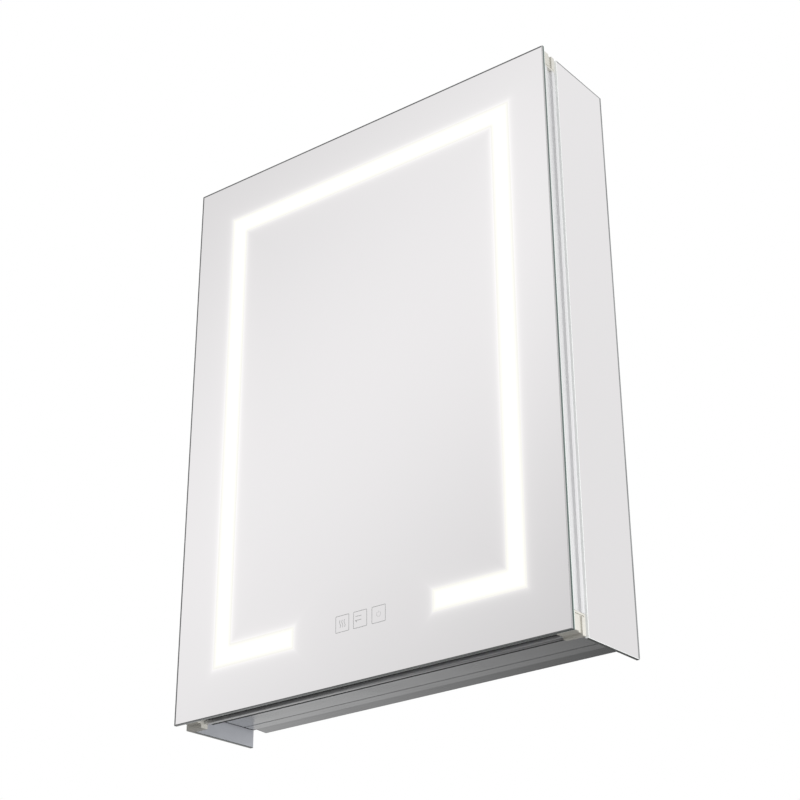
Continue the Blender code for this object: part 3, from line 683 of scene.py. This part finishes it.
FINISH = {
    "door_mirror": silvered("door mirror silver", True),
    "side_mirror": silvered("side mirror silver", False),
    "lit": frosted_band(),
    # pale door-glass edges carry a painted glow; the grey edge on the glass's foot is a shaded
    # copy, less green and with less painted glow, for the face that looks down
    "edge": glass_edge("pale glass edge", (0.52, 0.66, 0.60), (0.74, 0.80, 0.77), 0.30),
    "foot_edge": glass_edge("grey glass edge", (0.50, 0.54, 0.52), (0.62, 0.65, 0.63), 0.18),
    # near-black glass edges: painted dark reflection
    "edge_dark_reflection": glass_edge("glass edge dark reflection", (0.022, 0.045, 0.038), (0.045, 0.08, 0.068), 0.02),
    "side_edge_dark_reflection": glass_edge("side glass edge dark reflection", (0.055, 0.07, 0.065),
                                 (0.09, 0.105, 0.10), 0.0),
    # ground arris and margin: dark grey, a painted dark reflection of the glass edge
    "arris": ground_arris("ground mirror arris", (0.22, 0.23, 0.23), (0.34, 0.35, 0.35)),
    "margin": ground_arris("mirror margin painted dark", (0.16, 0.165, 0.165), (0.24, 0.245, 0.245)),
    "shelf_edge": grained("shelf glass edge", (0.50, 0.76, 0.66), (0.60, 0.84, 0.75), 200.0,
                          (0.02, 0.06), (0.03, 0.02 * MM), Transmission_Weight=1.0, IOR=1.52),
    "paint": mirror_paint(),
    "along_x": drawn_aluminium("anodised aluminium drawn across", "X"),
    # lit copy of the aluminium: a paler base and less metallic shading make the upright parts look
    # lit, painted light
    "along_z_painted_lit": drawn_aluminium("anodised aluminium drawn upright painted lit", "Z", (0.82, 0.82, 0.825), 0.3,
                               0.4),
    "underside": drawn_aluminium("anodised aluminium body wall", "X", (0.76, 0.765, 0.77), 0.2,
                                 1.0),
    # pale side-pane edge: its emission is a painted glow that lightens the edge as if lit
    "side_edge": grained("pale side glass edge", (0.74, 0.75, 0.74), (0.82, 0.83, 0.82), 300.0,
                         (0.15, 0.25), (0.03, 0.02 * MM), Emission_Color=tone(0.9, 0.92, 0.91),
                         Emission_Strength=0.28),
    "beige_plastic": grained("beige moulded plastic", (0.60, 0.585, 0.53), (0.66, 0.645, 0.59),
                             1500.0, (0.42, 0.55), (0.3, 0.05 * MM)),
    "white_sheet": grained("white powder coat", (0.80, 0.81, 0.81), (0.85, 0.86, 0.86),
                           420.0, (0.38, 0.5), (0.25, 0.12 * MM)),
    "driver_case": grained("white moulded case", (0.82, 0.82, 0.80), (0.87, 0.87, 0.85),
                           1200.0, (0.45, 0.55), (0.2, 0.05 * MM)),
    "opal_acrylic": grained("opal acrylic", (0.88, 0.86, 0.80), (0.92, 0.90, 0.85),
                            300.0, (0.3, 0.36), (0.05, 0.05 * MM),
                            Emission_Color=tone(1.0, 0.97, 0.85), Emission_Strength=0.6),
    "circuit_board": grained("white solder mask", (0.80, 0.81, 0.77), (0.88, 0.88, 0.84),
                             800.0, (0.3, 0.4), (0.15, 0.03 * MM)),
    "heating_film": grained("heating film", (0.26, 0.27, 0.28), (0.36, 0.37, 0.38),
                            500.0, (0.4, 0.5), (0.2, 0.04 * MM)),
    "nickel_steel": grained("nickel plated steel", (0.55, 0.54, 0.52), (0.66, 0.65, 0.63),
                            700.0, (0.16, 0.26), (0.08, 0.03 * MM), Metallic=1.0),
    "zinc_steel": grained("zinc plated steel", (0.50, 0.52, 0.53), (0.66, 0.68, 0.69),
                          350.0, (0.28, 0.42), (0.12, 0.04 * MM), Metallic=1.0),
    # black foam and dark seal: dark strips that also stand in for shade in gaps and channels,
    # painted shade
    "black_rubber": grained("black rubber and painted shade", (0.020, 0.020, 0.021), (0.035, 0.035, 0.036),
                            900.0, (0.6, 0.75), (0.3, 0.06 * MM)),
    "grey_seal_painted_shade": grained("dark grey seal painted shade", (0.055, 0.055, 0.056), (0.085, 0.085, 0.086),
                         700.0, (0.6, 0.75), (0.3, 0.06 * MM)),
    "clear_bumper": grained("soft clear bumper", (0.72, 0.72, 0.70), (0.80, 0.80, 0.78),
                            600.0, (0.2, 0.3), (0.1, 0.04 * MM)),
    "shelf_glass": grained("clear shelf glass", (0.93, 0.97, 0.955), (0.96, 0.985, 0.975),
                           200.0, (0.0, 0.015), (0.02, 0.02 * MM), Transmission_Weight=1.0,
                           IOR=1.52),
    "etched": grained("etched stroke", (0.70, 0.70, 0.70), (0.77, 0.77, 0.77),
                      2500.0, (0.5, 0.6), (0.2, 0.03 * MM)),
}
FINISH["inner_mirror"] = FINISH["side_mirror"]


def finish_frame():
    """Give every CAD node its finish; a drawn profile's lines follow its length."""
    for name, obj in frame["nodes"].items():
        finish = slot_of(name)
        if finish == "anodised_aluminium":
            low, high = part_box(name)
            finish = "along_x" if high.x - low.x > high.z - low.z else "along_z_painted_lit"
            finish = "underside" if name in ("body_bottom", "body_top") else finish
        obj.data.materials.clear()
        obj.data.materials.append(FINISH[finish])


# ---------------------------------------------------------------- glass pieces

def arris_edge(thickness, arris=ARRIS):
    """Rim stations of a plate with a narrow 45 degree arris on both faces."""
    return [(arris, 0.0), (0.0, arris), (0.0, thickness - arris), (arris, thickness)]


def build_door_mirror():
    """The door's glass: silver, lit band, margin and arrises painted dark as a reflection of the
    edge, edges with a painted glow and a near-black painted reflection band, and back paint.
    """
    low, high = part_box("door_glass")
    middle, half, band_low, band_high = band_limits()
    inner = half - BAND_WIDTH
    painted_dark_rim = {side: ARRIS + margin for side, margin in DOOR_MARGINS.items()}
    band_x = middle + np.array([-half, -inner, -FOOT_END, FOOT_END, inner, half])
    band_z = [band_low, band_low + BAND_WIDTH, band_high - BAND_WIDTH, band_high]
    lines_x = np.array([low.x, low.x + painted_dark_rim["left"], *band_x, high.x - painted_dark_rim["right"], high.x])
    lines_z = np.array([low.z, low.z + painted_dark_rim["low"], *band_z, high.z - painted_dark_rim["high"], high.z])
    thick = high.y - low.y
    # the edge's front band is painted near-black as a dark reflection; the rest of the edge carries
    # a painted glow
    edge = [(ARRIS, 0.0), (0.0, ARRIS), (0.0, ARRIS + DARK_EDGE), (0.0, thick - ARRIS),
            (ARRIS, thick)]
    points, quads, rows = plate(lines_x, lines_z, edge)
    x, z = points[quads, 0].mean(1), points[quads, 1].mean(1)
    across = abs(x - middle)
    in_outer = (across < half) & (z > band_low) & (z < band_high)
    in_inner = (across < inner) & (z > band_z[1]) & (z < band_z[2])
    in_gap = (across < FOOT_END) & (z < band_z[1])
    lit = in_outer & ~in_inner & ~in_gap
    painted_dark_face = (x < lines_x[1]) | (x > lines_x[-2]) | (z < lines_z[1]) | (z > lines_z[-2])
    at_foot = z < low.z + ARRIS
    # painted dark reflection on the margin and on every front arris but the right one, which stays
    # silver
    tags = np.select([(rows == 0) & lit, (rows == 0) & painted_dark_face, rows == 0,
                      (rows == 1) & (x > high.x - ARRIS), rows == 1, (rows == 3) & at_foot,
                      rows == 2, rows == 3, (rows == -1) & lit, rows == -1],
                     [1, 6, 0, 0, 3, 7, 5, 2, 1, 4], 3)
    world = np.stack([points[:, 0], low.y + points[:, 2], points[:, 1]], -1)
    names = ("door_mirror", "lit", "edge", "arris", "paint", "edge_dark_reflection", "margin", "foot_edge")
    piece("door_mirror", (world, quads.tolist()), [FINISH[name] for name in names],
          "door", ["door_glass"], tags)


def build_upright_mirror(name, node, thin, silver_side):
    """A silvered pane over a node's box: thin is its thin axis, silver_side the sign it faces.

    A side pane has a margin at its back and top and near-black edges there, painted dark as a
    reflection of the edge, and pale ground edges with a painted glow at its front and foot.
    """
    low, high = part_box(node)
    wide = 1 - thin
    start, end = (low[thin], high[thin]) if silver_side < 0 else (high[thin], low[thin])
    on_side = thin == 0
    back = SIDE_ARRIS + (SIDE_MARGINS["back"] if on_side else PLAIN_MARGIN)
    top = SIDE_ARRIS + (SIDE_MARGINS["high"] if on_side else PLAIN_MARGIN)
    lines_u = np.array([low[wide], high[wide] - back, high[wide]])
    lines_v = np.array([low.z, high.z - top, high.z])
    points, quads, rows = plate(lines_u, lines_v, arris_edge(abs(end - start), SIDE_ARRIS))
    world = np.empty_like(points)
    world[:, wide] = points[:, 0]
    world[:, thin] = start + points[:, 2] * np.sign(end - start)
    world[:, 2] = points[:, 1]
    u, v = points[quads, 0].mean(1), points[quads, 1].mean(1)
    rim = (rows == 1) | (rows == 2) | (rows == 3)
    at_front = u < low[wide] + SIDE_ARRIS
    at_foot = v < low.z + SIDE_ARRIS
    painted_dark_face = (u > lines_u[-2]) | (v > lines_v[-2])
    # painted dark reflection on the margin and on the rim, except the front and the foot's arris,
    # which are pale with a painted glow
    tags = np.select([rim & at_front, (rows == 1) & at_foot, (rows == 0) & painted_dark_face, rows == 0,
                      rows == -1], [1, 1, 4, 0, 3], 2)
    names = ("side_mirror", "side_edge", "side_edge_dark_reflection", "paint", "margin")
    piece(name, (world, quads.tolist()), [FINISH[name] for name in names],
          body_of(node), [node], tags)


def build_shelf(level):
    """A clear shelf with rounded polished edges: the rim follows a half circle."""
    node = f"shelf_{level}"
    low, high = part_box(node)
    radius = (high.z - low.z) / 2
    angle = np.linspace(0, math.pi, 9)
    edge = [(radius * (1 - math.sin(a)), radius * (1 - math.cos(a))) for a in angle]
    points, quads, rows = plate(np.linspace(low.x, high.x, 4), np.linspace(low.y, high.y, 3), edge)
    world = np.stack([points[:, 0], points[:, 1], low.z + points[:, 2]], -1)
    piece(f"glass_shelf_{level}", (world, quads.tolist()),
          [FINISH["shelf_glass"], FINISH["shelf_edge"]], "cabinet", [node],
          np.where((rows == 0) | (rows == -1), 0, 1))


# ---------------------------------------------------------------- bars

def build_bar(name, node, along, outline, radius, finish):
    """A drawn bar: a filleted outline carried over the node's own length.

    The outline is in the other two axes. Its ends are drawn in by a small saw chamfer.
    """
    low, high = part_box(node)
    section = rounded(outline, radius)
    middle = section.mean(0)
    stations = [(low[along], 1), (low[along] + SAW_CHAMFER, 0), (high[along] - SAW_CHAMFER, 0),
                (high[along], 1)]
    others = [axis for axis in range(3) if axis != along]
    rings = np.empty((len(stations), len(section), 3))
    for ring, (where, drawn_in) in zip(rings, stations):
        ring[:, along] = where
        ring[:, others] = section + drawn_in * SAW_CHAMFER * 0.3 * np.sign(middle - section)
    piece(name, swept(rings), [FINISH[finish]], body_of(node), [node])


def build_door_bars():
    """The door's lower, upper and opening-side profiles."""
    for end, inward in (("bottom", 1), ("top", -1)):
        low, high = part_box(f"door_frame_{end}")
        outer = low.z if inward > 0 else high.z
        front, back = low.y, high.y
        skin, near, far = front + BAR_SKIN * MM, back - (REAR_FLANGE - 1) * MM, back
        thick = back - REAR_FLANGE * MM
        outline = [(front, 0), (front, BAR_WIDE), (skin, BAR_WIDE), (skin, WEB[1]), (near, WEB[1]),
                   (near, BAR_WIDE), (far, BAR_WIDE), (far, 0), (thick, 0), (thick, NOTCH_HIGH),
                   (near, NOTCH_HIGH), (near, WEB[0]), (skin, WEB[0]), (skin, 0)]
        outline = [(y, outer + inward * rise * MM) for y, rise in outline]
        build_bar(f"door_bar_{end}", f"door_frame_{end}", 0, outline, BAR_FILLET, "along_x")
    low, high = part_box("door_frame_right")
    x, front, back = high.x, low.y, high.y
    skin = BAR_SKIN * MM
    groove_front, groove_back = front + GROOVE[0] * MM, front + GROOVE[1] * MM
    near, middle, far = (step * MM for step in BEAD)
    steps = [(0, front), (BAR_WIDE, front), (BAR_WIDE, front + skin), (SIDE_BAR_WEB, front + skin),
             (SIDE_BAR_WEB, back - skin), (BAR_WIDE, back - skin), (BAR_WIDE, back), (0, back),
             (0, groove_back + far), (BEAD_DEEP, groove_back + middle), (0, groove_back + near),
             (0, groove_back), (GROOVE_DEEP, groove_back), (GROOVE_DEEP, groove_front),
             (0, groove_front), (0, groove_front - near), (BEAD_DEEP, groove_front - middle),
             (0, groove_front - far)]
    outline = [(x - step * MM, y) for step, y in steps]
    build_bar("door_bar_right", "door_frame_right", 2, outline, SIDE_BAR_FILLET, "along_z_painted_lit")


def build_seals():
    """Soft dark seals behind and inside the door bars, put there as painted shade in the channel
    and behind the flange, and black foam behind the side panes, whose black also paints shade into
    the gap there.

    Each is a filleted outline in the other two axes, carried along the bar or the body's depth.
    """
    for end, inward in (("bottom", 1), ("top", -1)):
        low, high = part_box(f"door_frame_{end}")
        outer = low.z if inward > 0 else high.z
        far = BAR_SKIN + CORD_CLEAR - (high.y - low.y) / MM
        near = -REAR_FLANGE - CORD_CLEAR
        across, up = CORD_SLOPE
        cord = [(near, CORD_LOW + up), (near, CORD_HIGH), (far, CORD_HIGH), (far, CORD_LOW + up),
                (far + across, CORD_LOW), (near - across, CORD_LOW)]
        runs = []
        for corners in (SEAL_LIP, cord):
            section = rounded([(high.y + y * MM, outer + inward * z * MM) for y, z in corners],
                              SEAL_FILLET)
            runs.append(swept(np.stack([
                np.column_stack([np.full(len(section), x), section])
                for x in np.linspace(low.x + SEAL_SHORTER, high.x - SEAL_SHORTER, 3)])))
        # painted shade: dark seal strips in the channel and behind the rear flange
        piece(f"shade_seal_{end}", gathered(runs), [FINISH["grey_seal_painted_shade"]], "door")
    body_low, body_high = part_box("body_bottom")
    body_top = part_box("body_top")[1].z
    for side, sign in (("left", -1), ("right", 1)):
        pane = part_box(f"side_mirror_{side}")
        near = sign * (body_high.x + FOAM_CLEAR)
        far = sign * (min(abs(pane[0].x), abs(pane[1].x)) - FOAM_CLEAR)
        for end, z in (("low", body_low.z + FOAM_INSET),
                       ("high", body_top - FOAM_HIGH - FOAM_INSET)):
            section = rounded([(near, z), (far, z), (far, z + FOAM_HIGH), (near, z + FOAM_HIGH)],
                              FOAM_FILLET)
            rings = np.stack([np.column_stack([section[:, 0], np.full(len(section), y),
                                               section[:, 1]])
                              for y in np.linspace(body_low.y + FOAM_INSET,
                                                   pane[1].y - FOAM_INSET, 3)])
            # black foam in the gap behind the pane, which also darkens it as painted shade
            piece(f"mirror_foam_{side}_{end}", swept(rings), [FINISH["black_rubber"]], "cabinet")


def soften(node, width):
    """Round a CAD node's sharp edges: join its triangles, clear its flats, bevel what is left."""
    obj = frame["nodes"][node]
    obj.modifiers.new("joined", "WELD").merge_threshold = WELD_REACH
    flats = obj.modifiers.new("flats", "DECIMATE")
    flats.decimate_type = "DISSOLVE"
    flats.angle_limit = FLAT_BELOW
    edge = obj.modifiers.new("edge", "BEVEL")
    edge.width = width
    edge.segments = 2
    edge.limit_method = "ANGLE"
    edge.angle_limit = BEVEL_ABOVE


SOFTENED = {
    0.25 * MM: ["body_top", "body_bottom", "body_side_left", "body_side_right", "door_frame_left",
                "door_backing", "back_panel", "touch_board", "led_strip", "light_diffuser"],
    0.5 * MM: [f"corner_bracket_{e}_{s}" for e in ("top", "bottom") for s in ("left", "right")]
    + [f"hinge_{p}_{e}" for p in ("arm", "plate", "cup") for e in ("lower", "upper")]
    + ["wall_rail", "hanging_rail", "driver_cover", "door_corner_top_left",
       "door_corner_top_right", "door_corner_bottom_left", "door_corner_bottom_right"],
    1.0 * MM: ["led_driver"],
}


# ---------------------------------------------------------------- turned pieces

def build_turned(name, node, axis, direction, stations, finish, swell=None):
    """A turned piece on a node's middle line; stations are (mm from its start, mm radius)."""
    low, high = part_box(node)
    centre = (low + high) / 2
    start = low[axis] if direction > 0 else high[axis]
    points, faces = turned(np.array(stations) * MM, TURNED_SEGMENTS, swell)
    others = [other for other in range(3) if other != axis]
    world = np.empty_like(points)
    world[:, axis] = start + direction * points[:, 0]
    for column, other in enumerate(others, 1):
        world[:, other] = centre[other] + points[:, column]
    piece(name, (world, faces), [FINISH[finish]], body_of(node), [node])


def cross_recess(depth, half_width, reach, from_station):
    """A cross sunk in a screw head: deepest along both arms, fading at their sides and ends."""
    def swell(distance, radius, angle):
        arm = np.minimum(abs(np.sin(angle)), abs(np.cos(angle))) * radius
        inside = np.clip((half_width - arm) / (0.4 * half_width), 0, 1)
        near = np.clip((reach - radius) / (0.35 * reach), 0, 1)
        return np.where(distance >= from_station, -depth * inside * near, 0)
    return swell


def build_hardware():
    """Screws with a cross recess, shelf pins with rounded heads, and the door's soft bumpers."""
    recess = cross_recess(**RECESS)
    for level in ("lower", "upper"):
        for end in ("low", "high"):
            build_turned(f"plate_screw_{level}_{end}", f"hinge_screw_{level}_{end}", 0, 1, SCREW,
                         "zinc_steel", recess)
        for row in ("front", "rear"):
            for side, sign in (("left", 1), ("right", -1)):
                build_turned(f"support_{level}_{row}_{side}",
                             f"shelf_pin_{level}_{row}_{side}", 0, sign, SHELF_PIN,
                             "nickel_steel")
        build_turned(f"soft_bumper_{level}", f"bumper_{level}", 1, 1, BUMPER, "clear_bumper")


def wavy(height, swing, waves=1.0, count=17):
    """An upright wave: x = swing sin(2 pi waves t), z from -height / 2 to height / 2."""
    share = np.linspace(0, 1, count)
    return np.stack([swing * np.sin(2 * math.pi * waves * share), (share - 0.5) * height], -1)


def arc(radius, start, end, count=25):
    angle = np.linspace(start, end, count)
    return radius * np.stack([np.cos(angle), np.sin(angle)], -1)


def build_touch_symbols():
    """Three etched squares, with rising heat, two level bars and a power ring."""
    low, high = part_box("touch_board")
    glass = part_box("door_glass")[0].y
    centre = (low + high) / 2
    half = SYMBOL_SIDE / 2
    square = rounded([(-half, -half), (half, -half), (half, half), (-half, half)], 0.7 * MM)
    heat = [wavy(8 * MM, 0.7 * MM) + (step * 3.0 * MM, 0) for step in (-1, 0, 1)]
    bars = [np.array([(-6 * MM, z), (1.8 * MM, z)]) for z in (3.6 * MM, -0.6 * MM)]
    hook = np.array([(-6 * MM, -0.6 * MM), (-4.2 * MM, -2.6 * MM)])
    ring = arc(2.6 * MM, 125 * DEG, 415 * DEG)
    mark = np.array([(0.0, 1.2 * MM), (0.0, 3.4 * MM)])
    insides = ([(path, STROKE) for path in heat], [(path, STROKE) for path in (*bars, hook)],
               [(path, FINE_STROKE) for path in (ring, mark)])
    parts = []
    for offset, inside in zip(SYMBOL_OFFSETS, insides):
        middle = np.array([centre.x + offset, centre.z + SYMBOL_RISE])
        strokes = [(square, STROKE, True)] + [(path, width, False) for path, width in inside]
        for path, width, closed in strokes:
            points, faces = ribbon(path + middle, width, glass - STROKE_PROUD,
                                   glass + STROKE_DEEP, closed)
            parts.append((points[:, [0, 2, 1]], faces))
    piece("touch_symbols", gathered(parts), [FINISH["etched"]], "door")


# ---------------------------------------------------------------- studio

def write_sky(nodes):
    """Brightness of the studio by direction, seen by surfaces; the camera sees plain white.

    In front, a soft light lies along a circle on the sky: its brightness falls off as the
    exponential of minus the squared distance from that circle. Behind is an even pale wall.
    Below the horizon it is darker, less so to the left, and a pale patch lies low to the right.
    """
    ray = nodes.add("ShaderNodeTexCoord").outputs["Generated"]
    x, y, z = nodes.split(ray)
    off = nodes.math("SUBTRACT", nodes.vector_math("DOT_PRODUCT", ray, SOFT_LIGHT_AXIS,
                                                   output="Value"), SOFT_LIGHT_OFFSET)
    spread = nodes.math("POWER", nodes.math("DIVIDE", off, SOFT_LIGHT_SPREAD), 2.0)
    soft = nodes.math("MULTIPLY", nodes.math("EXPONENT", nodes.math("MULTIPLY", spread, -1.0)),
                      SOFT_LIGHT_GAIN)
    front = nodes.math("ADD", soft, FRONT_TONE)
    rear = nodes.math("ADD", nodes.math("MULTIPLY", z, REAR_RISE), REAR_TONE)
    above = nodes.blend(nodes.span(y, -0.4, 0.1), front, rear)
    below = nodes.span(x, -0.70, -0.46, LOW_LEFT_TONE, LOW_RIGHT_TONE, "LINEAR")
    below = nodes.math("MULTIPLY", below, nodes.span(z, -0.40, -0.30, LOWEST_SHARE, 1.0))
    whole = nodes.blend(nodes.span(z, -0.25, 0.15), below, above)
    side = nodes.math("MULTIPLY", nodes.span(x, 0.25, 0.6), nodes.span(z, 0.0, 0.28, 1.0, 0.0))
    return nodes.blend(side, whole, tone(*SIDE_TONE))


def build_studio():
    """World, floor, one soft lamp and the camera."""
    scene = bpy.context.scene
    world = bpy.data.worlds.new("studio")
    world.use_nodes = True
    scene.world = world
    nodes = Nodes(world.node_tree)
    background = world.node_tree.nodes["Background"]
    seen = nodes.add("ShaderNodeLightPath").outputs["Is Camera Ray"]
    nodes.feed(background.inputs["Color"], nodes.blend(seen, write_sky(nodes), tone(1.0, 1.0, 1.0)))
    scene.view_settings.view_transform = "Standard"
    low = CAD_BOX[0]
    count = 9
    reach = np.linspace(-FLOOR_REACH, FLOOR_REACH, count)
    u, v = np.meshgrid(reach, reach)
    points = np.stack([u, v, np.full(u.shape, low.z - FLOOR_BELOW)], -1).reshape(-1, 3)
    mesh = bpy.data.meshes.new("floor")
    mesh.from_pydata(points.tolist(), [], grid_quads(count, count).tolist())
    mesh.materials.append(grained("pale floor", (0.78, 0.78, 0.77), (0.81, 0.81, 0.80), 60.0,
                                  (0.55, 0.65), (0.05, 0.2 * MM)))
    floor = bpy.data.objects.new("floor", mesh)
    scene.collection.objects.link(floor)
    floor.visible_glossy = False
    floor.visible_diffuse = False
    lamp = bpy.data.objects.new("side lamp", bpy.data.lights.new("side lamp", "AREA"))
    lamp.data.size = LAMP_SIZE
    lamp.data.energy = LAMP_POWER
    lamp.location = LAMP_PLACE
    aim = mathutils.Vector(LAMP_AIM) - mathutils.Vector(LAMP_PLACE)
    lamp.rotation_euler = aim.to_track_quat("-Z", "Y").to_euler()
    lamp.visible_glossy = False
    scene.collection.objects.link(lamp)
    camera = bpy.data.objects.new("camera", bpy.data.cameras.new("camera"))
    camera.location = CAMERA_PLACE
    camera.rotation_euler = CAMERA_TURN
    camera.data.lens = CAMERA_LENS
    camera.data.shift_x, camera.data.shift_y = CAMERA_SHIFT
    scene.collection.objects.link(camera)
    scene.camera = camera


build_studio()
finish_frame()
build_door_mirror()
build_touch_symbols()
for side, sign in (("left", -1), ("right", 1)):
    build_upright_mirror(f"side_pane_{side}", f"side_mirror_{side}", 0, sign)
build_upright_mirror("door_inside_pane", "door_inner_mirror", 1, 1)
build_upright_mirror("back_pane", "back_mirror", 1, -1)
build_door_bars()
build_seals()
build_shelf("lower")
build_shelf("upper")
build_hardware()
for width, nodes_to_soften in SOFTENED.items():
    for node_name in nodes_to_soften:
        soften(node_name, width)
